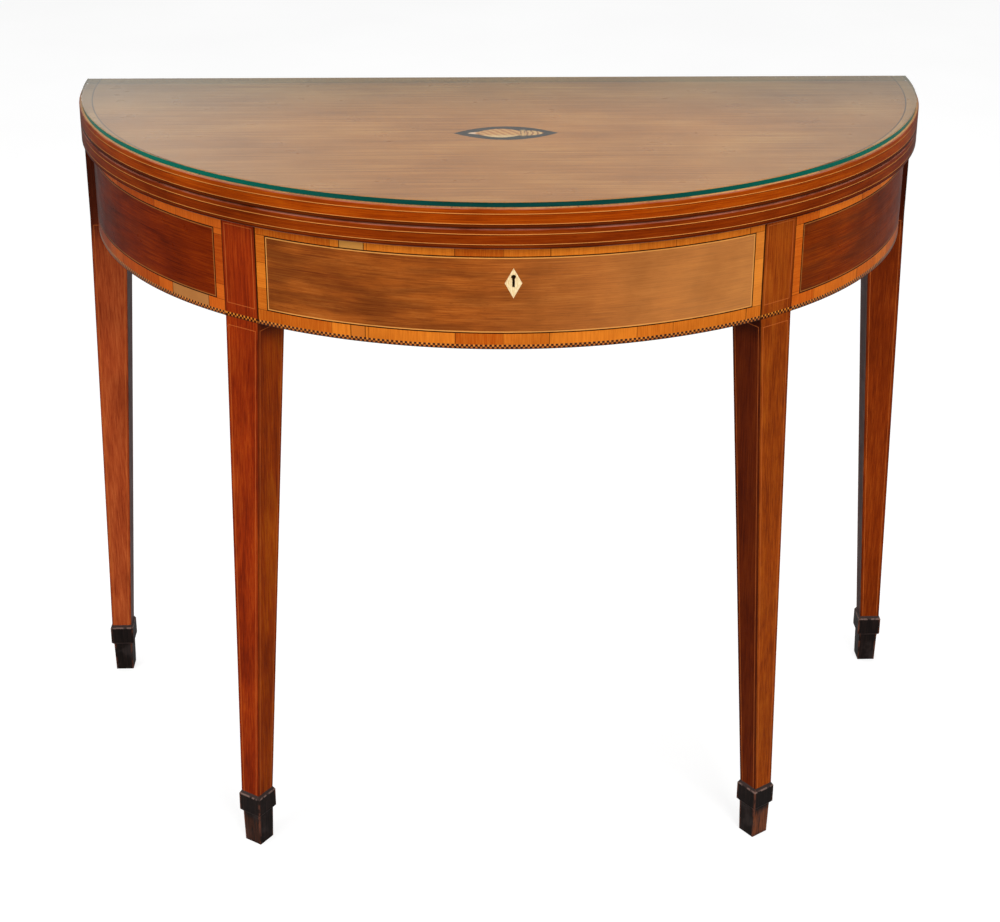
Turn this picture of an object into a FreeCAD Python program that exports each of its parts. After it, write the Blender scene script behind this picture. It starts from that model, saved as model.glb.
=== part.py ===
import FreeCAD, Part
import Sketcher
import math
import os
import re

# Half-round card table with a fold-over top, a bow-fronted drawer and a fly leg.
# Millimetres. +Z is up, the drawer faces -Y, and the origin is on the floor under the middle of the top.

SIZES = [
    ("leaf_radius", 457.5, "half the width of the top, and its depth"),
    ("leaf_thickness", 19, "each of the two leaves"),
    ("leaf_overhang", 14.8, "leaf rim in front of the apron"),
    ("curve_setback", 5, "centre of the apron's curve behind the back edge of the top"),
    ("leaf_rim_ease", 0.8, "softened rim of a leaf"),
    ("rest_gap", 0.3, "clearance between pieces that lie on each other"),
    ("glass_thickness", 6, "loose glass sheet"),
    ("glass_rim_inset", 3, "glass rim inside the leaf rim"),
    ("glass_back_inset", 1.5, "glass inside the back edge"),
    ("glass_arris", 0.8, "ground edge of the glass"),
    ("apron_bottom", 589.4, "floor to the lower edge of the apron"),
    ("apron_height", 102.6, "apron, up to the fixed leaf"),
    ("apron_thickness", 22, "curved apron panels"),
    ("band_height", 4.6, "chequer band"),
    ("band_depth", 2, "chequer band let into the apron"),
    ("leg_top", 40, "square head of a leg"),
    ("leg_end", 23, "square end of a leg above its foot"),
    ("leg_angle", 35.2, "front legs, in degrees from the middle of the front"),
    ("front_leg_splay", 23.5, "outward lean of a front leg, from the apron to the foot"),
    ("back_leg_splay", 15.5, "outward lean of a back leg, from the apron to the foot"),
    ("back_leg_proud", 8.2, "back leg outside the end of the apron"),
    ("foot_height", 62, "spade foot"),
    ("foot_bevel_height", 3.5, "bevel between the leg and the collar"),
    ("foot_collar_width", 27, "collar of the foot"),
    ("foot_collar_height", 20, "collar of the foot"),
    ("foot_step_height", 3, "bevel under the collar"),
    ("foot_block_width", 22, "block under the collar"),
    ("foot_sole_width", 20.4, "foot on the floor"),
    ("foot_dowel_radius", 5, "dowel between leg and foot"),
    ("foot_dowel_length", 30, "dowel between leg and foot"),
    ("back_inset", 4, "back legs and fly rail inside the back edge"),
    ("back_rail_thickness", 20, "fixed inner rail at the back"),
    ("fly_rail_thickness", 20, "rail that carries the fly leg"),
    ("fly_rail_margin", 2, "fly rail above the lower edge of the apron"),
    ("swing_gap", 0.6, "clearance of the fly leg and its rail"),
    ("knuckle_offset", 100, "knuckle pin left of the middle"),
    ("knuckle_gap", 0.5, "between fingers and shoulders of the knuckle"),
    ("knuckle_pin_radius", 4, "iron pin of the knuckle"),
    ("pin_clearance", 0.05, "running clearance of pins"),
    ("rail_thickness", 16, "rails, runners and kickers of the drawer"),
    ("rail_width", 45, "front rails, from front to back"),
    ("rail_lift", 2, "bottom rail above the edge of the apron"),
    ("runner_width", 42, "runners and kickers"),
    ("guide_width", 14, "drawer guides"),
    ("guide_height", 18, "drawer guides"),
    ("drawer_gap", 1, "joint round the drawer front"),
    ("drawer_front_thickness", 26, "bow front of the drawer"),
    ("drawer_side_gap", 1.5, "drawer side to the leg"),
    ("drawer_guide_gap", 0.8, "drawer side to the guide"),
    ("drawer_top_gap", 3, "drawer side to the kicker"),
    ("drawer_side_thickness", 9, "oak drawer sides and back"),
    ("drawer_bottom_thickness", 6, "oak drawer bottom"),
    ("drawer_bottom_rise", 9, "drawer bottom above the lower edge of the sides"),
    ("drawer_groove", 4, "drawer bottom let into sides and front"),
    ("drawer_rear_gap", 22, "drawer back to the inner rail"),
    ("drawer_back_drop", 8, "drawer back below the sides"),
    ("stop_length", 34, "drawer stops"),
    ("stop_depth", 16, "drawer stops"),
    ("stop_height", 6, "drawer stops"),
    ("stop_offset", 120, "drawer stops from the middle"),
    ("lock_width", 58, "brass lock case"),
    ("lock_height", 46, "brass lock case"),
    ("lock_depth", 12, "brass lock case"),
    ("bolt_width", 16, "lock bolt"),
    ("bolt_height", 22, "lock bolt"),
    ("bolt_depth", 5, "lock bolt"),
    ("bolt_gap", 0.2, "lock bolt in its case"),
    ("bolt_throw", 9, "mortise over the bolt"),
    ("escutcheon_width", 16, "bone diamond"),
    ("escutcheon_height", 29.2, "bone diamond"),
    ("escutcheon_thickness", 1.6, "bone diamond"),
    ("escutcheon_drop", 36.6, "middle of the diamond below the top of the drawer"),
    ("keyhole_radius", 2.3, "head of the keyhole"),
    ("keyhole_slot_width", 2.4, "slot of the keyhole"),
    ("keyhole_slot_length", 10, "slot of the keyhole"),
    ("keyhole_rise", 6, "head of the keyhole above the middle of the diamond"),
    ("block_length", 56, "glue blocks"),
    ("block_width", 18, "glue blocks"),
    ("hinge_plate_length", 52, "brass hinge plates"),
    ("hinge_plate_width", 13, "brass hinge plates"),
    ("hinge_plate_thickness", 9, "brass hinge plates at the back edge"),
    ("hinge_barrel_radius", 3, "knuckles of the hinges"),
    ("hinge_gap", 0.2, "clearance round the knuckles of a hinge"),
    ("hinge_pin_radius", 1.25, "hinge pins"),
    ("hinge_pin_end", 0.5, "hinge pin and knuckles below the rim"),
    ("reach", 1200, "length of cutting shapes, past the whole table"),
]

# Places and sizes that follow from the driving sizes.
DERIVED = {
    "hinge_setback": "rest_gap / 2",
    "back_edge": "(leaf_radius - hinge_setback - hinge_barrel_radius) / 2",
    "curve_centre": "back_edge + curve_setback",
    "apron_radius": "leaf_radius - leaf_overhang + curve_setback",
    "apron_inner": "apron_radius - apron_thickness",
    "frame_top": "apron_bottom + apron_height",
    "lower_leaf_top": "frame_top + leaf_thickness",
    "upper_leaf_bottom": "lower_leaf_top + rest_gap",
    "upper_leaf_top": "upper_leaf_bottom + leaf_thickness",
    "glass_bottom": "upper_leaf_top + rest_gap",
    "leg_face": "sqrt(apron_radius^2 - (leg_top / 2)^2)",
    "opening_half": "(leg_face - leg_top) * sin(leg_angle) - leg_top / 2 * cos(leg_angle)",
    "front_inner": "apron_radius - drawer_front_thickness",
    "apron_end": "back_edge - back_inset - fly_rail_thickness - swing_gap",
    "back_leg_outer": "sqrt(apron_radius^2 - (curve_centre - apron_end)^2) + back_leg_proud",
    "back_leg_inner": "back_leg_outer - leg_top",
    "inner_rail_front": "apron_end - back_rail_thickness",
    "fly_back": "back_edge - back_inset",
    "knuckle_radius": "fly_rail_thickness / 2",
    "knuckle_y": "fly_back - knuckle_radius",
    "fly_bottom": "apron_bottom + fly_rail_margin",
    "fly_top": "frame_top - rest_gap",
    "runner_bottom": "apron_bottom + rail_lift",
    "runner_top": "runner_bottom + rail_thickness",
    "kicker_bottom": "frame_top - rail_thickness",
    "front_rail_outer": "front_inner - drawer_gap",
    "front_rail_inner": "front_rail_outer - rail_width",
    "drawer_top": "frame_top - drawer_gap",
    "drawer_half": "opening_half - drawer_side_gap",
    "drawer_inner_half": "drawer_half - drawer_side_thickness",
    "side_bottom": "runner_top + rest_gap",
    "side_top": "kicker_bottom - drawer_top_gap",
    "drawer_bottom_level": "side_bottom + drawer_bottom_rise",
    "drawer_floor": "drawer_bottom_level + drawer_bottom_thickness",
    "drawer_rear": "inner_rail_front - drawer_rear_gap",
    "guide_inner": "drawer_half + drawer_guide_gap",
    "runner_outer": "guide_inner + guide_width",
    "lock_face": "curve_centre - front_inner",
    "bolt_front": "lock_face - lock_depth / 2 - bolt_depth / 2",
    "escutcheon_level": "drawer_top - escutcheon_drop",
    "hinge_y": "back_edge + hinge_setback",
    "hinge_z": "lower_leaf_top + rest_gap / 2",
    "hinge_inner": "leaf_radius - hinge_plate_thickness + hinge_gap",
    "hinge_outer": "leaf_radius - hinge_pin_end",
    "hinge_third": "(hinge_outer - hinge_inner) / 3",
}

KNUCKLE_FINGERS = 5
GLUE_BLOCK_ANGLES = (50, 63, 76)

doc = FreeCAD.newDocument("demilune_table")
sheet = doc.addObject("Spreadsheet::Sheet", "Sizes")
for row, (alias, number, note) in enumerate(SIZES, start=1):
    sheet.set(f"A{row}", alias)
    sheet.set(f"B{row}", str(number))
    sheet.set(f"C{row}", note)
    sheet.setAlias(f"B{row}", alias)
doc.recompute()

DRIVING = {alias for alias, number, note in SIZES}
nodes = {}


def sized(text):
    """An expression in the names above, written with cells of the sheet only."""

    def cell(match):
        word = match.group(0)
        if word in DERIVED:
            return "(" + sized(DERIVED[word]) + ")"
        return "Sizes." + word if word in DRIVING else word

    return re.sub(r"[a-z_]+", cell, str(text))


def bind(obj, **sizes):
    """Ties properties to expressions; a double underscore stands for a dot."""
    for prop, text in sizes.items():
        obj.setExpression(prop.replace("__", "."), sized(text))
    return obj


def move(obj, x="0", y="0", z="0"):
    return bind(obj, Placement__Base__x=x, Placement__Base__y=y, Placement__Base__z=z)


def turn(obj, axis, angle):
    """Turns an object about a fixed axis by an angle in degrees, which may be a size."""
    obj.Placement = FreeCAD.Placement(FreeCAD.Vector(), FreeCAD.Rotation(FreeCAD.Vector(*axis), 1))
    return bind(obj, Placement__Rotation__Angle=angle)


def node(label, obj):
    obj.Label = label
    nodes[label] = obj
    return obj


def box(x, y, z):
    """A box between pairs of expressions, low and high along each axis."""
    made = doc.addObject("Part::Box", "Box")
    bind(made, Length=f"({x[1]}) - ({x[0]})", Width=f"({y[1]}) - ({y[0]})", Height=f"({z[1]}) - ({z[0]})")
    return move(made, x[0], y[0], z[0])


def turned_box(angle, x, y, z):
    """A box drawn in a frame that is turned about the centre of the curve."""
    made = doc.addObject("Part::Box", "TurnedBox")
    bind(made, Length=f"({x[1]}) - ({x[0]})", Width=f"({y[1]}) - ({y[0]})", Height=f"({z[1]}) - ({z[0]})")
    turn(made, (0, 0, 1), angle)
    across = f"({x[0]}) * cos({angle}) - ({y[0]}) * sin({angle})"
    along = f"curve_centre + ({x[0]}) * sin({angle}) + ({y[0]}) * cos({angle})"
    return move(made, across, along, z[0])


def post(radius, x, y, z):
    """An upright cylinder between two heights."""
    made = doc.addObject("Part::Cylinder", "Post")
    bind(made, Radius=radius, Height=f"({z[1]}) - ({z[0]})")
    return move(made, x, y, z[0])


def rod(radius, axis, length, x, y, z):
    """A cylinder along +X or -Y from a start point."""
    made = doc.addObject("Part::Cylinder", "Rod")
    bind(made, Radius=radius, Height=length)
    turn(made, axis, "90")
    return move(made, x, y, z)


ALONG_X = (0, 1, 0)
TO_FRONT = (1, 0, 0)


def cut(base, *tools):
    made = base
    for tool in tools:
        step = doc.addObject("Part::Cut", "Cut")
        step.Base = made
        step.Tool = tool
        made = step
    return made


def fuse(*shapes):
    made = doc.addObject("Part::MultiFuse", "Fuse")
    made.Shapes = list(shapes)
    made.Refine = True
    return made


def common(*shapes):
    made = doc.addObject("Part::MultiCommon", "Common")
    made.Shapes = list(shapes)
    return made


def group(*shapes):
    made = doc.addObject("Part::Compound", "Group")
    made.Links = list(shapes)
    return made


def disc(radius, z):
    """A solid cylinder about the centre of the apron's curve."""
    return post(radius, "0", "curve_centre", z)


def ring(outer, inner, z):
    return cut(disc(outer, z), disc(inner, z))


def mirrored(side, low, high):
    """A pair of expressions along X, on the right for side +1 and on the left for -1."""
    return (low, high) if side > 0 else (f"-({high})", f"-({low})")


SIDES = {"left": -1, "right": 1}


# Leaves and glass


def half_disc_body(name, radius, back, bottom, height):
    """A half-round plate: a sketch of an arc and its chord, padded upwards."""
    body = doc.addObject("PartDesign::Body", name)
    sketch = body.newObject("Sketcher::SketchObject", name + "Outline")
    plane = next(f for f in body.Origin.OriginFeatures if f.Role == "XY_Plane")
    sketch.AttachmentSupport = [(plane, "")]
    sketch.MapMode = "FlatFace"
    start = sheet.evalExpression(sized(radius))
    centre = FreeCAD.Vector(0, sheet.evalExpression(sized(back)), 0)
    left = centre - FreeCAD.Vector(start, 0, 0)
    right = centre + FreeCAD.Vector(start, 0, 0)
    circle = Part.Circle(centre, FreeCAD.Vector(0, 0, 1), start)
    arc = sketch.addGeometry(Part.ArcOfCircle(circle, math.pi, 2 * math.pi))
    chord = sketch.addGeometry(Part.LineSegment(right, left))
    sketch.addConstraint(Sketcher.Constraint("Coincident", arc, 2, chord, 1))
    sketch.addConstraint(Sketcher.Constraint("Coincident", arc, 1, chord, 2))
    sketch.addConstraint(Sketcher.Constraint("Horizontal", chord))
    sketch.addConstraint(Sketcher.Constraint("PointOnObject", arc, 3, chord))
    sketch.addConstraint(Sketcher.Constraint("PointOnObject", arc, 3, -2))
    size = sketch.addConstraint(Sketcher.Constraint("Radius", arc, start))
    place = sketch.addConstraint(Sketcher.Constraint("DistanceY", -1, 1, arc, 3, centre.y))
    sketch.setExpression(f"Constraints[{size}]", sized(radius))
    sketch.setExpression(f"Constraints[{place}]", sized(back))
    pad = body.newObject("PartDesign::Pad", name + "Pad")
    pad.Profile = sketch
    bind(pad, Length=height)
    move(body, z=bottom)
    doc.recompute()
    return body, pad


def rim_edges(pad):
    """The round edges of a half-round plate."""
    return [f"Edge{i}" for i, e in enumerate(pad.Shape.Edges, start=1) if isinstance(e.Curve, Part.Circle)]


def hinge_plate_block(side, z):
    """What is let in at the end of a leaf for one hinge plate."""
    x = mirrored(side, "leaf_radius - hinge_plate_thickness", "leaf_radius + leaf_overhang")
    return box(x, ("back_edge - hinge_plate_length", "back_edge"), z)


def hinge_rod(side, radius, low, high):
    """A rod on the axis of a hinge, between two distances from the middle of the table."""
    x = mirrored(side, low, high)
    return rod(radius, ALONG_X, f"({high}) - ({low})", x[0], "hinge_y", "hinge_z")


def knuckle(side, index):
    """One of the three knuckles of a hinge."""
    low = f"hinge_inner + {index} * hinge_third"
    return hinge_rod(side, "hinge_barrel_radius", low, f"{low} + hinge_third")


def knuckle_room(side, index):
    """Room for a knuckle of the other plate; that for the last one runs out through the rim."""
    low = f"hinge_inner + {index} * hinge_third - hinge_gap / 2"
    high = f"{low} + hinge_third + hinge_gap" if index < 2 else "leaf_radius + leaf_overhang"
    return hinge_rod(side, "hinge_barrel_radius + hinge_gap", low, high)


def hinge_plate(side, leaf, z, own, other):
    """A plate shaped by the end of its leaf, with its own knuckles and room for those of the other plate."""
    plate = common(leaf, hinge_plate_block(side, z))
    knuckles = [knuckle(side, i) for i in own]
    rooms = [knuckle_room(side, i) for i in other]
    bore_start = "leaf_radius - hinge_plate_thickness"
    bore = hinge_rod(side, "hinge_pin_radius + pin_clearance", bore_start, "leaf_radius + leaf_overhang")
    return cut(fuse(plate, *knuckles), *rooms, bore)


OUTER_KNUCKLES = (0, 2)
MIDDLE_KNUCKLE = (1,)


def make_leaf(name, bottom, plate_z, own, other):
    """One leaf and its two hinge plates."""
    body, pad = half_disc_body(name + "Leaf", "leaf_radius", "back_edge", bottom, "leaf_thickness")
    softened = body.newObject("PartDesign::Chamfer", name + "Rim")
    softened.Base = (pad, rim_edges(pad))
    bind(softened, Size="leaf_rim_ease")
    doc.recompute()
    for side_name, side in SIDES.items():
        node(f"hinge_plate_{name}_{side_name}", hinge_plate(side, body, plate_z, own, other))
    return cut(body, *[hinge_plate_block(side, plate_z) for side in SIDES.values()])


upper_plate = ("upper_leaf_bottom", "upper_leaf_bottom + hinge_plate_width")
node("upper_leaf", make_leaf("upper", "upper_leaf_bottom", upper_plate, MIDDLE_KNUCKLE, OUTER_KNUCKLES))

lower_plate = ("lower_leaf_top - hinge_plate_width", "lower_leaf_top")
bolt_mortise = box(
    ("-bolt_width / 2 - bolt_gap", "bolt_width / 2 + bolt_gap"),
    ("bolt_front - bolt_gap", "bolt_front + bolt_depth + bolt_gap"),
    ("frame_top - leaf_thickness", "frame_top + bolt_throw"),
)
fixed_leaf = make_leaf("lower", "frame_top", lower_plate, OUTER_KNUCKLES, MIDDLE_KNUCKLE)
node("lower_leaf", cut(fixed_leaf, bolt_mortise))

pins = [hinge_rod(side, "hinge_pin_radius", "hinge_inner", "hinge_outer") for side in SIDES.values()]
node("hinge_pins", group(*pins))

glass_body, glass_pad = half_disc_body(
    "Glass",
    "leaf_radius - glass_rim_inset",
    "back_edge - glass_back_inset",
    "glass_bottom",
    "glass_thickness",
)
ground = glass_body.newObject("PartDesign::Chamfer", "GlassArris")
ground.Base = (glass_pad, rim_edges(glass_pad))
bind(ground, Size="glass_arris")
node("glass_sheet", glass_body)


# Curved apron


def beside_leg(side, z):
    """Everything outside a front leg, from its outer side face round to the back."""
    angle = f"{side} * leg_angle"
    return turned_box(angle, mirrored(side, "leg_top / 2", "reach"), ("-reach", "reach"), z)


def between_legs(side, gap, z):
    """Everything on the drawer's side of a front leg, a gap away from it."""
    angle = f"{side} * leg_angle"
    return turned_box(angle, mirrored(-side, f"leg_top / 2 + {gap}", "reach"), ("-reach", "reach"), z)


FULL_HEIGHT = ("-reach", "reach")
APRON = ("apron_bottom", "frame_top")
BAND = ("apron_bottom", "apron_bottom + band_height")


def in_front_of_ends(side):
    return box(mirrored(side, "0", "reach"), ("-reach", "apron_end"), FULL_HEIGHT)


def band_ring():
    return ring("apron_radius", "apron_radius - band_depth", BAND)


for side_name, side in SIDES.items():
    panel = cut(ring("apron_radius", "apron_inner", APRON), band_ring())
    node(f"apron_{side_name}", common(panel, beside_leg(side, FULL_HEIGHT), in_front_of_ends(side)))
    band = common(band_ring(), beside_leg(side, FULL_HEIGHT), in_front_of_ends(side))
    node(f"chequer_band_{side_name}", band)


# Legs and feet


def tapered_leg(outer_x, outer_y):
    """The tapered part of a leg, drawn from the rectangles at its two ends. Each is low and high in X and Y."""
    made = doc.addObject("Part::Wedge", "Taper")
    turn(made, TO_FRONT, "90")
    bind(made, Ymin="foot_height", Ymax="apron_bottom")
    bind(made, Xmin=outer_x[0][0], Xmax=outer_x[0][1], X2min=outer_x[1][0], X2max=outer_x[1][1])
    bind(made, Zmin=f"-({outer_y[0][1]})", Zmax=f"-({outer_y[0][0]})")
    bind(made, Z2min=f"-({outer_y[1][1]})", Z2max=f"-({outer_y[1][0]})")
    return made


def square_about(centre, width):
    return (f"({centre}) - ({width}) / 2", f"({centre}) + ({width}) / 2")


def spade_layer(x, y, low_width, high_width, z):
    """One stage of a spade foot, between two squares about the same centre."""
    made = doc.addObject("Part::Wedge", "SpadeLayer")
    turn(made, TO_FRONT, "90")
    bind(made, Ymin=z[0], Ymax=z[1])
    low_x, high_x = square_about(x, low_width), square_about(x, high_width)
    low_y, high_y = square_about(y, low_width), square_about(y, high_width)
    bind(made, Xmin=low_x[0], Xmax=low_x[1], X2min=high_x[0], X2max=high_x[1])
    bind(made, Zmin=f"-({low_y[1]})", Zmax=f"-({low_y[0]})", Z2min=f"-({high_y[1]})", Z2max=f"-({high_y[0]})")
    return made


def foot_dowel(x, y, clearance):
    z = (f"foot_height - foot_dowel_length - ({clearance})", "foot_height")
    return post(f"foot_dowel_radius + {clearance}", x, y, z)


def spade_foot(x, y):
    """A foot: tapered block on the floor, and a collar round it with a bevel below and one in to the leg."""
    collar_top = "foot_height - foot_bevel_height"
    collar_bottom = f"{collar_top} - foot_collar_height"
    block_top = f"{collar_bottom} - foot_step_height"
    block = spade_layer(x, y, "foot_sole_width", "foot_block_width", ("0", block_top))
    step = spade_layer(x, y, "foot_block_width", "foot_collar_width", (block_top, collar_bottom))
    collar = spade_layer(x, y, "foot_collar_width", "foot_collar_width", (collar_bottom, collar_top))
    bevel = spade_layer(x, y, "foot_collar_width", "leg_end", (collar_top, "foot_height"))
    return cut(fuse(block, step, collar, bevel), foot_dowel(x, y, "pin_clearance"))


def front_leg(side_name, side):
    """A front leg that leans out and tapers on its other three faces, turned to the curve."""
    head = box(("-leg_top / 2", "leg_top / 2"), ("-leg_face", "-leg_face + leg_top"), APRON)
    across = (square_about("0", "leg_end"), square_about("0", "leg_top"))
    end_face = "-leg_face - front_leg_splay"
    deep = ((end_face, f"{end_face} + leg_end"), ("-leg_face", "-leg_face + leg_top"))
    centre = f"{end_face} + leg_end / 2"
    leg = fuse(head, tapered_leg(across, deep), foot_dowel("0", centre, "0"))
    for label, piece in ((f"front_leg_{side_name}", leg), (f"foot_front_{side_name}", spade_foot("0", centre))):
        turn(piece, (0, 0, 1), f"{side} * leg_angle")
        move(piece, y="curve_centre")
        node(label, piece)


for side_name, side in SIDES.items():
    front_leg(side_name, side)


def back_leg(label, foot_label, side, head_front, head_top, shoulder, rebate_gap):
    """A back leg: the end of the apron lies in a rebate of its head, and it leans out and tapers below."""
    front = "fly_back - leg_top"
    head_x = mirrored(side, "back_leg_inner", "back_leg_outer")
    end_x = mirrored(side, "back_leg_outer + back_leg_splay - leg_end", "back_leg_outer + back_leg_splay")
    head = box(head_x, (front, "fly_back"), (f"apron_bottom - ({shoulder})", head_top))
    taper = tapered_leg((end_x, head_x), (("fly_back - leg_end", "fly_back"), (front, "fly_back")))
    rebate = common(
        box(head_x, (front, head_front), (f"apron_bottom - ({shoulder})", "frame_top")),
        disc(f"apron_radius + {rebate_gap}", FULL_HEIGHT),
    )
    centre_x = f"{side} * (back_leg_outer + back_leg_splay - leg_end / 2)"
    centre_y = "fly_back - leg_end / 2"
    node(label, cut(fuse(head, taper, foot_dowel(centre_x, centre_y, "0")), rebate))
    node(foot_label, spade_foot(centre_x, centre_y))


back_leg("back_leg_right", "foot_back_right", SIDES["right"], "apron_end", "frame_top", "0", "rest_gap")
back_leg("fly_leg", "foot_fly", SIDES["left"], "apron_end + swing_gap", "fly_top", "swing_gap", "2 * swing_gap")


# Back rail and the knuckle of the fly leg

back_rail = box(("-reach", "reach"), ("inner_rail_front", "apron_end"), ("fly_bottom", "frame_top"))
node("inner_back_rail", common(back_rail, disc("apron_inner", APRON)))


def finger(index):
    """Low and high level of one finger of the knuckle, counted from the bottom."""
    step = f"(fly_top - fly_bottom) / {KNUCKLE_FINGERS}"
    return f"fly_bottom + {index} * {step}", f"fly_bottom + {index + 1} * {step}"


def knuckle_slot(index):
    """Room for a finger of the other half, past its round end."""
    low, high = finger(index)
    past = "knuckle_radius + knuckle_gap"
    low = f"{low} - knuckle_gap / 2" if index else f"{low} - knuckle_gap"
    high = f"{high} + knuckle_gap / 2"
    return box(
        (f"-knuckle_offset - ({past})", f"-knuckle_offset + ({past})"),
        ("apron_end - back_rail_thickness", "back_edge"),
        (low, high),
    )


def knuckle_half(rail, slots):
    round_end = post("knuckle_radius", "-knuckle_offset", "knuckle_y", ("fly_bottom", "fly_top"))
    bore = post("knuckle_pin_radius + pin_clearance", "-knuckle_offset", "knuckle_y", FULL_HEIGHT)
    return cut(fuse(rail, round_end), *[knuckle_slot(i) for i in slots], bore)


FLY_LEVELS = ("fly_bottom", "fly_top")
fixed_rail = box(("-knuckle_offset", "back_leg_inner"), ("apron_end", "fly_back"), FLY_LEVELS)
swinging_rail = box(("-back_leg_inner", "-knuckle_offset"), ("apron_end + swing_gap", "fly_back"), FLY_LEVELS)
node("fly_rail_fixed", knuckle_half(fixed_rail, range(1, KNUCKLE_FINGERS, 2)))
node("fly_rail", knuckle_half(swinging_rail, range(0, KNUCKLE_FINGERS, 2)))
node("knuckle_pin", post("knuckle_pin_radius", "-knuckle_offset", "knuckle_y", FLY_LEVELS))


# Rails, runners, guides, kickers and stops round the drawer

RUNNER = ("runner_bottom", "runner_top")
KICKER = ("kicker_bottom", "frame_top")
for label, z in (("front_top_rail", KICKER), ("front_bottom_rail", RUNNER)):
    curved = ring("front_rail_outer", "front_rail_inner", z)
    node(label, common(curved, *[between_legs(side, "0", FULL_HEIGHT) for side in SIDES.values()]))

for side_name, side in SIDES.items():
    x = mirrored(side, "runner_outer - runner_width", "runner_outer")
    span = ("-reach", "inner_rail_front")
    behind_rail = disc("front_rail_inner", FULL_HEIGHT)
    node(f"drawer_runner_{side_name}", common(box(x, span, RUNNER), behind_rail))
    node(f"drawer_kicker_{side_name}", common(box(x, span, KICKER), disc("front_rail_inner", FULL_HEIGHT)))
    guide_x = mirrored(side, "guide_inner", "runner_outer")
    guide = box(guide_x, span, ("runner_top", "runner_top + guide_height"))
    node(f"drawer_guide_{side_name}", common(guide, disc("front_rail_inner", FULL_HEIGHT)))


def drawer_stop(side):
    """A block on the bottom rail that the drawer front shuts against."""
    x = square_about(f"{side} * stop_offset", "stop_length")
    block = box(x, ("-reach", "back_edge"), ("runner_top", "runner_top + stop_height"))
    near_front = ring("front_inner - rest_gap", "front_inner - rest_gap - stop_depth", FULL_HEIGHT)
    return common(block, near_front)


node("drawer_stops", group(*[drawer_stop(side) for side in SIDES.values()]))


# Drawer

keyhole_level = "escutcheon_level + keyhole_rise"
keyhole = fuse(
    rod("keyhole_radius", TO_FRONT, "drawer_front_thickness", "0", "lock_face - lock_depth / 2", keyhole_level),
    box(
        square_about("0", "keyhole_slot_width"),
        ("-reach", "lock_face - lock_depth / 2"),
        (f"{keyhole_level} - keyhole_slot_length", keyhole_level),
    ),
)


def diamond_body():
    """A diamond plate, drawn on the XZ plane as four lines that meet on its two axes."""
    body = doc.addObject("PartDesign::Body", "Diamond")
    sketch = body.newObject("Sketcher::SketchObject", "DiamondOutline")
    plane = next(f for f in body.Origin.OriginFeatures if f.Role == "XZ_Plane")
    sketch.AttachmentSupport = [(plane, "")]
    sketch.MapMode = "FlatFace"
    half_width = sheet.evalExpression(sized("escutcheon_width / 2"))
    half_height = sheet.evalExpression(sized("escutcheon_height / 2"))
    corners = [
        FreeCAD.Vector(half_width, 0, 0),
        FreeCAD.Vector(0, half_height, 0),
        FreeCAD.Vector(-half_width, 0, 0),
        FreeCAD.Vector(0, -half_height, 0),
    ]
    lines = [sketch.addGeometry(Part.LineSegment(a, b)) for a, b in zip(corners, corners[1:] + corners[:1])]
    for one, other in zip(lines, lines[1:] + lines[:1]):
        sketch.addConstraint(Sketcher.Constraint("Coincident", one, 2, other, 1))
    for index, line in enumerate(lines):
        sketch.addConstraint(Sketcher.Constraint("PointOnObject", line, 1, -1 - index % 2))
    reaches = (("DistanceX", half_width), ("DistanceY", half_height))
    for index, line in enumerate(lines):
        kind, start = reaches[index % 2]
        ends = (-1, 1, line, 1) if index < 2 else (line, 1, -1, 1)
        size = sketch.addConstraint(Sketcher.Constraint(kind, *ends, start))
        share = "escutcheon_width / 2" if kind == "DistanceX" else "escutcheon_height / 2"
        sketch.setExpression(f"Constraints[{size}]", sized(share))
    pad = body.newObject("PartDesign::Pad", "DiamondPad")
    pad.Profile = sketch
    bind(pad, Length="escutcheon_thickness")
    return move(body, y="curve_centre - apron_radius + escutcheon_thickness", z="escutcheon_level")


diamond = diamond_body()
doc.recompute()
node("escutcheon", cut(common(diamond, disc("apron_radius", FULL_HEIGHT)), keyhole))

lock_space = box(
    square_about("0", "lock_width"),
    ("lock_face - lock_depth", "lock_face"),
    ("drawer_top - lock_height", "drawer_top"),
)
bolt_space = box(
    square_about("0", "bolt_width + 2 * bolt_gap"),
    ("bolt_front - bolt_gap", "bolt_front + bolt_depth + bolt_gap"),
    ("drawer_top - bolt_height - bolt_gap", "frame_top"),
)
node("lock_case", cut(lock_space, bolt_space, keyhole))
bolt_levels = ("drawer_top - bolt_height", "drawer_top")
node("lock_bolt", box(square_about("0", "bolt_width"), ("bolt_front", "bolt_front + bolt_depth"), bolt_levels))

floor_board = common(
    box(
        ("-drawer_inner_half - drawer_groove", "drawer_inner_half + drawer_groove"),
        ("-reach", "drawer_rear"),
        ("drawer_bottom_level", "drawer_floor"),
    ),
    disc("front_inner + drawer_groove", FULL_HEIGHT),
)
node("drawer_bottom", floor_board)

DRAWER_FRONT = ("apron_bottom", "drawer_top")
drawer_ends = [between_legs(side, "drawer_gap", FULL_HEIGHT) for side in SIDES.values()]
front = cut(ring("apron_radius", "front_inner", DRAWER_FRONT), band_ring())
front = common(front, *drawer_ends)
lock_recess = box(
    square_about("0", "lock_width"),
    ("lock_face - lock_depth", "back_edge"),
    ("drawer_top - lock_height", "frame_top"),
)
node("drawer_front", cut(front, diamond, lock_recess, keyhole, floor_board))
node("chequer_band_drawer", common(band_ring(), *drawer_ends))

for side_name, side in SIDES.items():
    x = mirrored(side, "drawer_inner_half", "drawer_half")
    board = box(x, ("-reach", "drawer_rear"), ("side_bottom", "side_top"))
    node(f"drawer_side_{side_name}", cut(common(board, disc("front_inner", FULL_HEIGHT)), floor_board))

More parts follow.
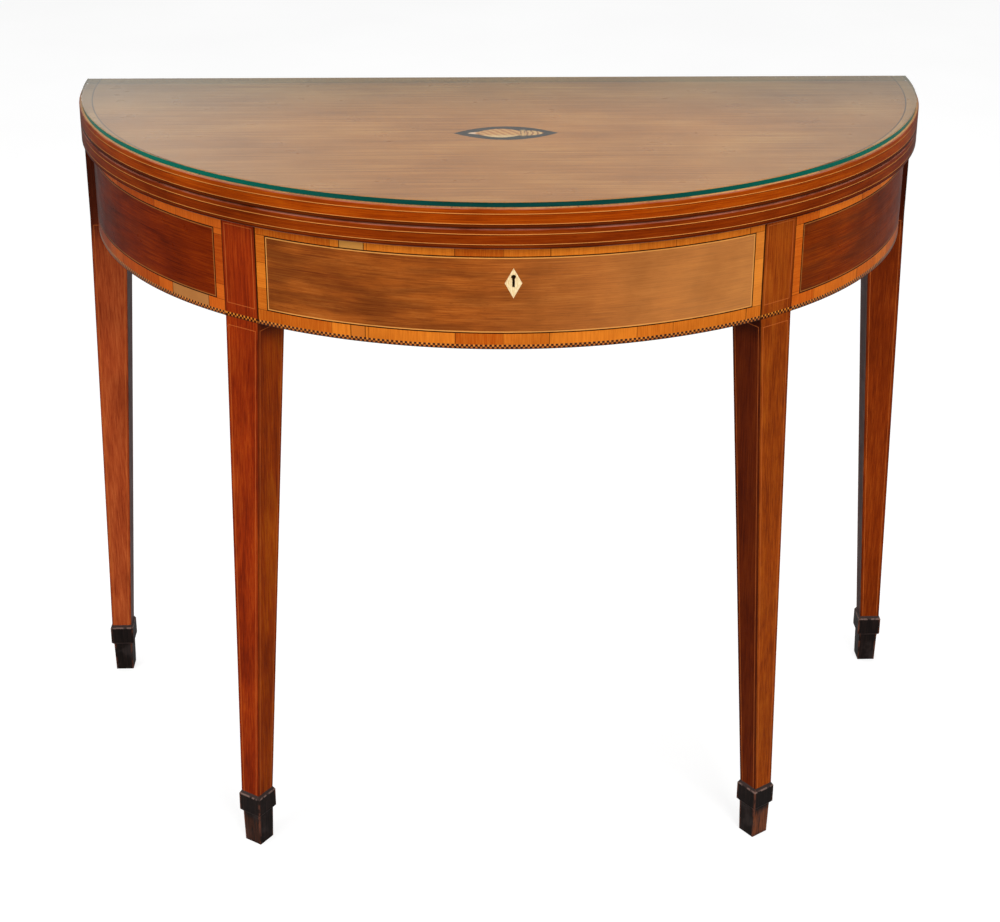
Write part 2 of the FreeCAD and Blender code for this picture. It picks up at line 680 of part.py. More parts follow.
node(
    "drawer_back",
    box(
        ("-drawer_inner_half", "drawer_inner_half"),
        ("drawer_rear - drawer_side_thickness", "drawer_rear"),
        ("drawer_floor", "side_top - drawer_back_drop"),
    ),
)


# Glue blocks in the corner of apron and fixed leaf


def glue_block(angle):
    block = turned_box(
        angle,
        square_about("0", "block_length"),
        ("-apron_inner", "-apron_inner + block_width"),
        ("frame_top - block_width", "frame_top"),
    )
    return common(block, disc("apron_inner", FULL_HEIGHT))


node("glue_blocks", group(*[glue_block(side * a) for side in SIDES.values() for a in GLUE_BLOCK_ANGLES]))


# Check and write

doc.recompute()
faults = [o.Label for o in doc.Objects if "Invalid" in o.State or "Error" in o.State]
faults += [label for label, obj in nodes.items() if obj.Shape.isNull() or not obj.Shape.isValid()]
if faults:
    raise RuntimeError("these pieces failed: " + ", ".join(faults))

os.makedirs("parts", exist_ok=True)
for label, obj in nodes.items():
    obj.Shape.exportStep(f"parts/{label}.step")
    print(label, len(obj.Shape.Solids), round(obj.Shape.Volume))
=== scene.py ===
import math

import bpy
from mathutils import Matrix, Quaternion, Vector


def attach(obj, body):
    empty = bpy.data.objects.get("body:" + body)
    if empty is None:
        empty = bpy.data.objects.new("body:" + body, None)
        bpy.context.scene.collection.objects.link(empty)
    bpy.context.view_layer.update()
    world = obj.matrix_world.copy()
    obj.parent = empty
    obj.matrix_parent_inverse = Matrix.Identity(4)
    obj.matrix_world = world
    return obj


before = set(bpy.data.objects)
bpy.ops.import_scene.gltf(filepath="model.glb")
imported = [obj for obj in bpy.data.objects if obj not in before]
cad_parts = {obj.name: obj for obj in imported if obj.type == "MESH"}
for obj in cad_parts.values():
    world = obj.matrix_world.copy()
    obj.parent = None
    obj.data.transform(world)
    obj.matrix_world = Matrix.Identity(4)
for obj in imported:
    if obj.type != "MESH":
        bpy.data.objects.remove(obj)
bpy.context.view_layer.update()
scene = bpy.context.scene
scene.view_settings.view_transform = "Standard"

# Sizes in millimetres, as in the CAD
MM_PER_METRE = 1000.0
BACK_EDGE = 227.175
CURVE_SETBACK = 5.0
CURVE_CENTRE = BACK_EDGE + CURVE_SETBACK
LEAF_RADIUS = 457.5
APRON_RADIUS = 447.7
APRON_BOTTOM = 589.4
APRON_END = 29.6
FRAME_TOP = 692.0
BAND_HEIGHT = 4.6
DRAWER_TOP = 691.0
DRAWER_GAP = 1.0
LOWER_TOP = 711.0
UPPER_TOP = 730.3
LEG_TOP = 40.0
LEG_END = 23.0
LEG_ANGLE = 35.2
LEG_FACE = math.sqrt(APRON_RADIUS**2 - (LEG_TOP / 2) ** 2)
FRONT_SPLAY = 23.5
BACK_SPLAY = 15.5
BACK_PROUD = 8.2
BACK_INSET = 4.0
FLY_BACK = BACK_EDGE - BACK_INSET
FOOT_HEIGHT = 62.0
FOOT_COLLAR = (38.5, 58.5)
FOOT_COLLAR_WIDTH = 27.0
FOOT_BLOCK_INSET = 2.9

# Veneer and inlay, in millimetres
BORDER_WIDTH = 11.0
SIDE_BORDER_DROP = 4.0
TOP_BORDER = 13.4
TOP_LINE = (13.2, 14.4)
RIM_LINES = ((4.5, 5.2), (14.2, 14.8))
RIM_LINE_SHADES = ((5.2, 5.9), (14.8, 15.4))
RIM_LOW_PART = 14.8
RIM_SEAM = 17.4
LEG_LINE_INSET = (2.9, 3.6)
LEG_BAND_MARGIN = 5.5
HEAD_BAND_MARGIN = 6.5
HEAD_TOP_MARGIN = 5.0
CHEQUER_PITCH = 4.4
CHEQUER_EDGE = 0.5
TOP_PIECE = 74.0
APRON_PIECE = 58.0
APRON_SIDE_PIECE = 37.0
REPAIR_FROM_END = (78.0, 22.0)
HIGH_PATCH_SPAN = (-164.0, -139.0)
LOW_PATCH_SPAN = (-154.0, -139.0)

# Shell in the top: its place, and the pointed ovals and grooves that make it up
PATERA_PLACE = (0.5, 19.3)
PATERA_OVAL = (0.0, 53.0, 25.0)
SHELL_OVAL = (-5.0, 27.0, 16.0)
SHELL_TIP_OVAL = (-27.0, 12.0, 4.5)
SPIRE_OVAL = (24.0, 15.0, 9.0)
COLLAR = (14.5, 20.0)
COLLAR_HALF_WIDTH = 12.0
COLLAR_GROOVES = ((14.5, 15.7), (18.4, 19.4))

# Sizes in metres
BUMP_DEPTH = 0.0004
EDGE_WEAR = 0.0006
FLOOR_SIZE = 40
FLOOR_LEVEL = -0.0005
VIEW_END = 100


def linear(red, green, blue):
    """A display colour from 0 to 255 as a linear colour for a shader."""
    shares = [channel / 255 for channel in (red, green, blue)]
    curved = [((s + 0.055) / 1.055) ** 2.4 if s > 0.04045 else s / 12.92 for s in shares]
    return (*curved, 1.0)


# Colours of the timbers, as dark, middle and light tones
TOP_TONES = (linear(156, 93, 44), linear(191, 121, 62), linear(216, 150, 87))
UNFADED_TONES = (linear(112, 46, 18), linear(148, 72, 32), linear(174, 98, 50))
INNER_TONES = (linear(96, 66, 38), linear(140, 100, 60), linear(168, 126, 80))
UPPER_RIM = (linear(100, 28, 1), linear(148, 57, 3), linear(176, 82, 9))
LOWER_RIM = (linear(78, 20, 1), linear(120, 42, 3), linear(150, 64, 8))
LEFT_FIELD = (linear(72, 14, 1), linear(118, 36, 2), linear(152, 60, 6))
RIGHT_FIELD = (linear(80, 22, 1), linear(128, 46, 2), linear(160, 70, 8))
DRAWER_FIELD = (linear(106, 46, 14), linear(152, 78, 24), linear(178, 104, 42))
LEFT_LEG = (linear(88, 17, 1), linear(140, 42, 4), linear(170, 70, 14))
RIGHT_LEG = (linear(88, 24, 1), linear(140, 58, 5), linear(168, 84, 16))
FLY_LEG = (linear(112, 36, 14), linear(160, 68, 30), linear(186, 94, 46))
# The right back leg's tones are darkened as painted shade
BACK_LEG_IN_PAINTED_SHADE = (linear(80, 20, 1), linear(120, 42, 4), linear(148, 64, 12))
FOOT_TONES = (linear(11, 7, 6), linear(22, 15, 13), linear(46, 32, 28))
PINE = (linear(120, 82, 44), linear(164, 122, 72), linear(190, 150, 98))
OAK = (linear(104, 74, 42), linear(148, 112, 68), linear(176, 140, 92))
BEECH = (linear(116, 76, 44), linear(150, 106, 66), linear(176, 132, 88))
BONE = (linear(196, 160, 104), linear(226, 200, 150), linear(240, 222, 182))

# Colours of the crossbanding, as dark and light tones
DRAWER_SATIN = (linear(164, 70, 10), linear(210, 118, 32))
LEFT_SATIN = (linear(158, 60, 8), linear(204, 98, 26))
RIGHT_SATIN = (linear(180, 74, 10), linear(222, 116, 30))

# Colours of lines, patches and wear, and of painted shade and highlights
PALE_LINE = linear(214, 146, 72)
LEG_LINE = linear(190, 98, 42)
RIM_LINE = linear(214, 138, 66)
DARK_LINE = linear(34, 10, 3)
FADED_LINE = linear(52, 24, 12)
HIGH_PATCH = linear(190, 132, 62)
LOW_PATCH = linear(190, 104, 32)
# Dark end grain, used also as painted shade in the gaps beside the drawer
REPAIR_TONE = linear(174, 114, 60)
END_GRAIN_AND_GAP_SHADE = linear(58, 26, 12)
SPECK = linear(96, 56, 30)
# The rim's lower part is darker wood and painted shade; its bottom edge is painted shade at the gap
RIM_LOW_TONE_AND_PAINTED_SHADE = linear(58, 14, 2)
RIM_SEAM_PAINTED_SHADE = linear(24, 5, 2)
# Pale chamfers: partly worn arris, partly painted highlight
RUBBED_EDGE_AND_HIGHLIGHT = linear(168, 110, 92)
FADED_FIELD = linear(214, 150, 84)
FADED_SATIN = linear(232, 146, 58)
FIELD_CLOUD = linear(78, 34, 12)
CHEQUER_PALE = (linear(172, 94, 30), linear(208, 124, 40))
CHEQUER_DARK = linear(44, 10, 2)
CHEQUER_EDGE_TONE = linear(40, 18, 10)
FOOT_BLOOM = linear(72, 62, 60)
FOOT_CORNER = linear(110, 62, 44)
FOOT_BARE = linear(128, 68, 38)
# Greyish bevels and a pale line at the collar's top: partly bloom and wear, partly painted sheen and
# highlight
FOOT_BEVEL_BLOOM_AND_SHEEN = linear(84, 66, 62)
FOOT_RUB_LINE_AND_GLINT = linear(140, 112, 102)
PATERA_GROUND = (linear(34, 26, 20), linear(58, 44, 34))
SHELL_TONES = (linear(196, 120, 62), linear(222, 158, 96))
SHELL_LIGHT = linear(240, 200, 150)
SHELL_TIP = linear(236, 190, 162)
SPIRE_TONES = (linear(164, 100, 54), linear(226, 170, 110))
COLLAR_TONE = linear(228, 172, 112)
GROOVE_TONE = linear(84, 52, 30)
GLASS_FRONT = linear(0, 48, 42)
GLASS_SIDE = linear(0, 112, 90)
GLASS_STREAK = linear(0, 70, 66)

# Factors that darken a colour as painted shade, and smudges that darken or lighten it in patches
LEFT_PAINTED_SHADE = (0.72, 0.8, 0.88, 1.0)
RIGHT_PAINTED_SHADE = (0.82, 0.87, 0.94, 1.0)
BACK_PAINTED_SHADE = (0.66, 0.79, 0.93, 1.0)
RIM_END_PAINTED_SHADE = (0.34, 0.32, 0.34, 1.0)
APRON_END_PAINTED_SHADE = (0.36, 0.33, 0.36, 1.0)
LEG_PAINTED_SHADE = (0.2, 0.18, 0.18, 1.0)
UNDER_APRON_PAINTED_SHADE = (0.25, 0.2, 0.2, 1.0)
SMUDGES = ((0.3, (0.5, 0.44, 0.4, 1)), (0.55, (1, 1, 1, 1)), (0.75, (1.2, 1.16, 1.1, 1)))


class Graph:
    """A material's node tree, built from sockets and plain numbers. Its places are in millimetres."""

    def __init__(self, name):
        self.material = bpy.data.materials.new(name)
        self.material.use_nodes = True
        self.tree = self.material.node_tree
        self.tree.nodes.clear()
        self.output = self.tree.nodes.new("ShaderNodeOutputMaterial")
        coords = self.tree.nodes.new("ShaderNodeTexCoord").outputs
        scaled = self.add(
            "ShaderNodeVectorMath", {"operation": "SCALE"}, Vector=coords["Object"], Scale=MM_PER_METRE
        )
        place = self.add("ShaderNodeSeparateXYZ", Vector=scaled.outputs[0])
        self.x, self.y, self.z = place.outputs
        normal = self.add("ShaderNodeSeparateXYZ", Vector=coords["Normal"])
        self.nx, self.ny, self.nz = normal.outputs

    def put(self, socket, value):
        if isinstance(value, bpy.types.NodeSocket):
            self.tree.links.new(value, socket)
        else:
            socket.default_value = value

    def add(self, kind, settings=None, **inputs):
        made = self.tree.nodes.new(kind)
        for key, value in (settings or {}).items():
            setattr(made, key, value)
        for key, value in inputs.items():
            self.put(made.inputs[key.replace("_", " ")], value)
        return made

    def math(self, operation, *values, clamp=False):
        made = self.tree.nodes.new("ShaderNodeMath")
        made.operation = operation
        made.use_clamp = clamp
        for socket, value in zip(made.inputs, values):
            self.put(socket, value)
        return made.outputs[0]

    def total(self, *values):
        result = values[0]
        for value in values[1:]:
            result = self.math("ADD", result, value)
        return result

    def minus(self, first, second):
        return self.math("SUBTRACT", first, second)

    def inverse(self, value):
        """1 less a value."""
        return self.math("SUBTRACT", 1.0, value)

    def times(self, first, second):
        return self.math("MULTIPLY", first, second)

    def over(self, first, second):
        return self.math("DIVIDE", first, second)

    def absolute(self, value):
        return self.math("ABSOLUTE", value)

    def least(self, first, second):
        return self.math("MINIMUM", first, second)

    def most(self, first, second):
        return self.math("MAXIMUM", first, second)

    def distance(self, first, second):
        """Length of the diagonal of two sides."""
        return self.math("SQRT", self.total(self.times(first, first), self.times(second, second)))

    def along(self, direction, x, y):
        """Share of a flat vector that lies along a direction."""
        return self.total(self.times(x, direction[0]), self.times(y, direction[1]))

    def step(self, value, edge, soft=0.2):
        """0 below an edge and 1 above it."""
        made = self.add("ShaderNodeMapRange", {"interpolation_type": "SMOOTHSTEP"}, Value=value)
        made.inputs["From Min"].default_value = edge - soft
        made.inputs["From Max"].default_value = edge + soft
        return made.outputs["Result"]

    def below(self, value, edge, soft=0.2):
        """1 below an edge and 0 above it."""
        return self.inverse(self.step(value, edge, soft))

    def band(self, value, low, high, soft=0.15):
        """1 between two edges."""
        return self.times(self.step(value, low, soft), self.below(value, high, soft))

    def bands(self, value, edges, soft=0.15):
        """1 between either of two pairs of edges."""
        first, second = edges
        return self.most(self.band(value, *first, soft), self.band(value, *second, soft))

    def mix(self, factor, first, second, blend="MIX"):
        made = self.tree.nodes.new("ShaderNodeMix")
        made.data_type = "RGBA"
        made.blend_type = blend
        self.put(made.inputs["Factor"], factor)
        colours = [s for s in made.inputs if s.type == "RGBA"]
        self.put(colours[0], first)
        self.put(colours[1], second)
        return next(s for s in made.outputs if s.type == "RGBA")

    def shade(self, factor, colour, shade):
        """A colour multiplied by a shade, as far as a factor says."""
        return self.mix(factor, colour, shade, "MULTIPLY")

    def noise(self, places, scales, detail=3.0, rough=0.6, distortion=0.0):
        """Noise over three places, each stretched by its own scale per millimetre."""
        stretched = [self.times(place, scale) for place, scale in zip(places, scales)]
        made = self.add("ShaderNodeTexNoise", Vector=self.combine(*stretched), Scale=1.0, Detail=detail)
        made.inputs["Roughness"].default_value = rough
        made.inputs["Distortion"].default_value = distortion
        return made.outputs[0]

    def ramp(self, value, stops):
        made = self.add("ShaderNodeValToRGB", Fac=value)
        marks = made.color_ramp.elements
        while len(marks) < len(stops):
            marks.new(0.5)
        for mark, (place, colour) in zip(marks, stops):
            mark.position = place
            mark.color = colour
        return made.outputs["Color"]

    def combine(self, x, y, z):
        return self.add("ShaderNodeCombineXYZ", X=x, Y=y, Z=z).outputs[0]

    def arc(self, centre=CURVE_CENTRE):
        """Distance along the curved front from its middle, and distance from the centre of the curve."""
        depth = self.minus(centre, self.y)
        angle = self.math("ARCTAN2", self.x, depth)
        return self.times(angle, APRON_RADIUS), self.distance(self.x, depth)

    def finish(self, colour, roughness, height, bump=0.15, specular=0.25, metallic=0.0):
        surface = self.tree.nodes.new("ShaderNodeBsdfPrincipled")
        self.put(surface.inputs["Base Color"], colour)
        self.put(surface.inputs["Roughness"], roughness)
        self.put(surface.inputs["Specular IOR Level"], specular)
        surface.inputs["Metallic"].default_value = metallic
        made = self.add("ShaderNodeBump", Height=height, Strength=bump)
        made.inputs["Distance"].default_value = BUMP_DEPTH
        self.tree.links.new(made.outputs[0], surface.inputs["Normal"])
        self.tree.links.new(surface.outputs[0], self.output.inputs["Surface"])
        return self.material


def wood(g, along, across, depth, dark, mid, light, figure=1.0, pores=0.5, seed=0.0):
    """Colour and height of a plain-sawn board: broad figure, fibres along the grain and short pores."""
    places = (g.math("ADD", along, seed), across, depth)
    broad = g.noise(places, (0.006, 0.035, 0.035), 4.0, 0.6, 1.2)
    fibre = g.noise(places, (0.022, 0.9, 0.9))
    pore = g.noise(places, (0.16, 2.4, 2.4), 2.0, 0.5)
    broad_share = 0.62 * figure
    tone = g.total(g.times(broad, broad_share), g.times(fibre, 1.0 - broad_share))
    colour = g.ramp(tone, ((0.3, dark), (0.5, mid), (0.7, light)))
    pits = g.times(g.band(pore, 0.0, 0.36, 0.05), pores)
    return g.mix(pits, colour, dark), g.minus(fibre, pits)


def crossband(g, along, across, depth, dark, light, length, shift=0.0):
    """Short-grain veneer across a border, in pieces that differ a little, with fine joints between."""
    wave = g.math("SINE", g.over(g.math("ADD", along, shift), length * 0.4))
    count = g.over(g.total(along, g.times(wave, length * 0.26), shift), length)
    piece = g.math("FLOOR", count)
    tint = g.add("ShaderNodeTexWhiteNoise", {"noise_dimensions": "1D"}, W=piece).outputs["Value"]
    fibre = g.noise((along, across, depth), (0.8, 0.05, 0.05))
    tone = g.total(g.times(fibre, 0.7), g.times(tint, 0.4))
    colour = g.ramp(tone, ((0.25, dark), (0.8, light)))
    joint = g.band(g.minus(count, piece), 0.0, 0.012, 0.004)
    return g.mix(g.times(joint, 0.7), colour, DARK_LINE)


def wear(g, scale=0.012):
    """Broad patches of handling and fading, about a middle value."""
    return g.noise((g.x, g.y, g.z), (scale, scale, scale))


def smudge(g, colour, strength, scale=0.012):
    """Darkens and lightens a colour in broad patches."""
    return g.shade(strength, colour, g.ramp(wear(g, scale), SMUDGES))


def polish(g, least, spread, scale):
    """Roughness that varies a little with the wear."""
    return g.total(least, g.times(wear(g, scale), spread))


def faded_top(g):
    """Colour and height of the sun-faded top: long straight fibres over faint clouds, with a few specks."""
    places = (g.x, g.y, 0.0)
    streak = g.noise(places, (0.005, 0.26, 1.0), 6.0, 0.7)
    cloud = g.noise(places, (0.006, 0.014, 1.0), 2.0, 0.5)
    tone = g.total(g.times(streak, 0.7), g.times(cloud, 0.3))
    dark, mid, light = TOP_TONES
    colour = g.ramp(tone, ((0.34, dark), (0.5, mid), (0.66, light)))
    speck = g.noise(places, (0.14, 0.3, 1.0), 2.0, 0.5)
    return g.mix(g.times(g.step(speck, 0.72, 0.04), 0.4), colour, SPECK), streak


def patera(g, colour):
    """A shell on a dark pointed oval, let into the middle of the top and lying along its length."""
    u = g.minus(g.x, PATERA_PLACE[0])
    v = g.minus(g.y, PATERA_PLACE[1])
    height = g.absolute(v)

    def inside(oval, soft=0.6):
        """1 within a pointed oval that is given by its middle, half its length and half its width."""
        middle, half_length, half_width = oval
        share = g.over(g.minus(u, middle), half_length)
        edge = g.times(g.inverse(g.times(share, share)), half_width)
        return g.step(g.minus(edge, height), 0.0, soft)

    def ribs(wave, low, high, tones):
        """Two tones that follow a wave."""
        return g.ramp(g.total(0.5, g.times(wave, 0.5)), ((low, tones[0]), (high, tones[1])))

    dark_ground, pale_ground = PATERA_GROUND
    ground = g.ramp(wear(g, 0.09), ((0.3, dark_ground), (0.7, pale_ground)))
    colour = g.mix(inside(PATERA_OVAL, 0.5), colour, ground)
    grit = g.noise((u, v, 0.0), (0.25, 0.12, 1.0))
    flutes = g.math("SINE", g.total(g.times(v, 0.5), g.times(u, 0.8), g.times(grit, 5.0)))
    shell = ribs(flutes, 0.1, 0.7, SHELL_TONES)
    near_side = g.step(g.minus(0.0, v), 8.0, 4.0)
    shell = g.mix(g.times(near_side, 0.7), shell, SHELL_LIGHT)
    whorls = g.math("SINE", g.total(g.times(u, 1.2), g.times(height, 0.25), g.times(grit, 6.0)))
    colour = g.mix(inside(SPIRE_OVAL), colour, ribs(whorls, 0.15, 0.6, SPIRE_TONES))
    colour = g.mix(inside(SHELL_TIP_OVAL), colour, SHELL_TIP)
    colour = g.mix(inside(SHELL_OVAL), colour, shell)
    collar = g.times(g.band(u, *COLLAR, 0.6), g.step(g.minus(COLLAR_HALF_WIDTH, height), 0.0, 0.6))
    grooves = g.times(collar, g.bands(u, COLLAR_GROOVES, 0.4))
    colour = g.mix(g.times(collar, 0.7), colour, COLLAR_TONE)
    return g.mix(g.times(grooves, g.step(grit, 0.45, 0.1)), colour, GROOVE_TONE)


def leaf_face(g, arc, radius, folding):
    """Colour and height of a leaf's flat faces: faded above, on the folding leaf with painted shade towards
    the left, the right and the back, unfaded where the leaves meet, raw below.
    """
    inset = g.minus(LEAF_RADIUS, radius)
    at_rim = g.below(inset, TOP_BORDER)
    line = g.times(g.band(inset, *TOP_LINE), 0.85)
    upward = g.step(g.nz, 0.0)

    def framed(field, dark, light, line_tone):
        """A field with crossbanding and a line along the round rim."""
        border = crossband(g, arc, radius, g.z, dark, light, TOP_PIECE)
        return g.mix(line, g.mix(at_rim, field, border), line_tone)

    hidden, _ = wood(g, g.x, g.y, g.z, *UNFADED_TONES, 0.6, 0.3)
    hidden = framed(hidden, UNFADED_TONES[0], UNFADED_TONES[2], DARK_LINE)
    faded, height = faded_top(g)
    if not folding:
        raw, _ = wood(g, g.x, g.y, g.z, *INNER_TONES, 0.7)
        return g.mix(upward, raw, hidden), height
    faded = smudge(g, framed(faded, TOP_TONES[0], TOP_TONES[2], FADED_LINE), 0.2)
    # Painted shade and reflection: the top is darker and greyer towards the left, the right and the back
    to_left = g.step(g.minus(0.0, g.x), 260.0, 220.0)
    faded = g.shade(g.times(to_left, 0.8), faded, LEFT_PAINTED_SHADE)
    faded = g.shade(g.step(g.x, 260.0, 150.0), faded, RIGHT_PAINTED_SHADE)
    faded = g.shade(g.step(g.y, 150.0, 110.0), faded, BACK_PAINTED_SHADE)
    return g.mix(upward, hidden, patera(g, faded)), height


def leaf_rim(g, arc, radius, top, tones, low_tone_and_painted_shade):
    """Colour of a leaf's rim: two pale lines, a darker part below them that is partly painted shade, painted
    shade at its bottom edge, and ends darkened by painted shade.
    """
    drop = g.minus(top, g.z)
    rim, _ = wood(g, arc, g.z, radius, *tones, 0.8, 0.4)
    # Darker below the lower pale line: partly a darker band of the wood, partly painted shade where the rim
    # turns under
    rim = g.mix(g.times(g.step(drop, RIM_LOW_PART, 0.3), low_tone_and_painted_shade), rim, RIM_LOW_TONE_AND_PAINTED_SHADE)
    # Painted shade along the bottom edge of the rim, at the gap under the leaf
    rim = g.mix(g.times(g.step(drop, RIM_SEAM, 0.8), 0.7), rim, RIM_SEAM_PAINTED_SHADE)
    rim = g.mix(g.times(g.bands(drop, RIM_LINE_SHADES), 0.6), rim, DARK_LINE)
    curved = g.below(g.ny, 0.9, 0.05)
    lines = g.times(g.bands(drop, RIM_LINES), curved)
    rim = g.mix(g.times(lines, 0.85), rim, RIM_LINE)
    # Painted shade: the rim darkens towards its ends, where it turns away from the front
    ends = g.step(g.absolute(arc), 1.22 * APRON_RADIUS, 0.18 * APRON_RADIUS)
    return g.shade(g.times(ends, 0.85), rim, RIM_END_PAINTED_SHADE)


def leaf_material(name, top, rim_tones, low_tone_and_painted_shade, folding):
    g = Graph(name)
    arc, radius = g.arc(BACK_EDGE)
    face, height = leaf_face(g, arc, radius, folding)
    rim = leaf_rim(g, arc, radius, top, rim_tones, low_tone_and_painted_shade)
    slope = g.absolute(g.nz)
    flat = g.step(slope, 0.85, 0.05)
    # Pale chamfers in patches: partly worn arris, partly painted highlight
    rubbed = g.times(g.band(slope, 0.4, 0.85, 0.1), g.step(wear(g, 0.02), 0.45, 0.15))
    rim = g.mix(g.times(rubbed, 0.6), rim, RUBBED_EDGE_AND_HIGHLIGHT)
    colour = g.mix(flat, smudge(g, rim, 0.45), face)
    gloss = g.total(0.025, g.times(flat, 0.055))
    return g.finish(colour, polish(g, 0.2, 0.22, 0.03), height, 0.04, gloss)


def bordered(g, along, low, high, half, field, top_band, side_band, pale):
    """A field in a crossbanded border: bands at top and bottom run through, side bands stand between."""
    sides = g.minus(half, g.absolute(along))
    ends = g.least(g.minus(g.z, low), g.minus(high, g.z))
    edge = g.least(sides, ends)
    border = g.mix(g.step(ends, BORDER_WIDTH), top_band, side_band)
    joint = g.times(g.band(ends, BORDER_WIDTH - 0.25, BORDER_WIDTH + 0.25), g.below(sides, BORDER_WIDTH))
    border = g.mix(g.times(joint, 0.7), border, DARK_LINE)
    colour = g.mix(g.step(edge, BORDER_WIDTH), border, field)
    colour = g.mix(g.band(edge, BORDER_WIDTH - 0.2, BORDER_WIDTH + 0.9), colour, DARK_LINE)
    colour = g.mix(g.minus(0.85, g.step(sides, 0.6)), colour, DARK_LINE)
    pale_line = g.band(edge, BORDER_WIDTH + 1.0, BORDER_WIDTH + 2.1)
    return g.mix(g.times(pale_line, pale), colour, PALE_LINE)


def patched(g, band, along, patches):
    """A border with later pieces let in, each with dark joints at its ends."""
    for start, end, low, high, tone in patches:
        where = g.times(g.band(along, start, end), g.band(g.z, low, high))
        joints = g.times(where, g.inverse(g.band(along, start + 0.7, end - 0.7)))
        band = g.mix(joints, g.mix(where, band, tone), DARK_LINE)
    return band


def apron_material(name, middle, half, field_tones, satin, seed, top, pale, fade, painted_shade, patches=()):
    """A curved apron panel or drawer front, laid out along the curve about its own middle."""
    g = Graph(name)
    arc, radius = g.arc()
    along = g.minus(arc, middle)
    field, height = wood(g, along, g.z, radius, *field_tones, 0.7, 0.5, seed)
    faded = g.times(g.step(along, 90.0, 160.0), fade)
    field = g.mix(faded, smudge(g, field, 0.5, 0.009), FADED_FIELD)
    clouds = g.noise((along, g.z, seed), (0.011, 0.06, 1.0), 3.0, 0.55)
    dark_left = g.times(g.step(clouds, 0.5, 0.12), g.below(along, 0.0, 120.0))
    field = g.mix(g.times(dark_left, 0.5), field, FIELD_CLOUD)
    top_band = crossband(g, along, g.z, radius, *satin, APRON_PIECE, seed)
    top_band = patched(g, top_band, along, patches)
    side_band = crossband(g, g.z, along, radius, *satin, APRON_SIDE_PIECE, seed)
    side_band = g.mix(faded, side_band, FADED_SATIN)
    outer = bordered(g, along, APRON_BOTTOM + BAND_HEIGHT, top, half, field, top_band, side_band, pale)
    # Painted shade: the panel darkens towards its ends, where it turns away, as strongly as the painted
    # shade factor says
    ends = g.step(g.absolute(arc), 1.18 * APRON_RADIUS, 0.22 * APRON_RADIUS)
    outer = g.shade(g.times(ends, painted_shade), smudge(g, outer, 0.3, 0.02), APRON_END_PAINTED_SHADE)
    inner, _ = wood(g, along, g.z, radius, *INNER_TONES, 0.7)
    # End faces of the panel: end grain, and painted shade in the gap beside them
    inner = g.mix(g.step(g.absolute(along), half - 2.0), inner, END_GRAIN_AND_GAP_SHADE)
    colour = g.mix(g.step(radius, APRON_RADIUS - 0.6), inner, outer)
    return g.finish(colour, polish(g, 0.2, 0.22, 0.05), height, 0.1, 0.028)


def chequer(g, along):
    """Two rows of small dark and pale tiles over a thin dark edge."""
    rise = g.minus(g.z, APRON_BOTTOM)
    row = g.math("FLOOR", g.over(g.minus(rise, CHEQUER_EDGE), (BAND_HEIGHT - CHEQUER_EDGE) / 2))
    place = g.math("FRACT", g.total(g.over(along, CHEQUER_PITCH), g.times(row, 0.5)))
    pale = g.mix(g.step(row, 0.5, 0.1), *CHEQUER_PALE)
    tiles = g.mix(g.band(place, 0.06, 0.5, 0.04), CHEQUER_DARK, pale)
    return g.mix(g.step(rise, CHEQUER_EDGE, 0.1), CHEQUER_EDGE_TONE, tiles)


def chequer_material():
    g = Graph("chequer band")
    arc, _ = g.arc()
    colour = smudge(g, chequer(g, arc), 0.5, 0.03)
    return g.finish(colour, polish(g, 0.22, 0.2, 0.05), wear(g, 0.6), 0.1)


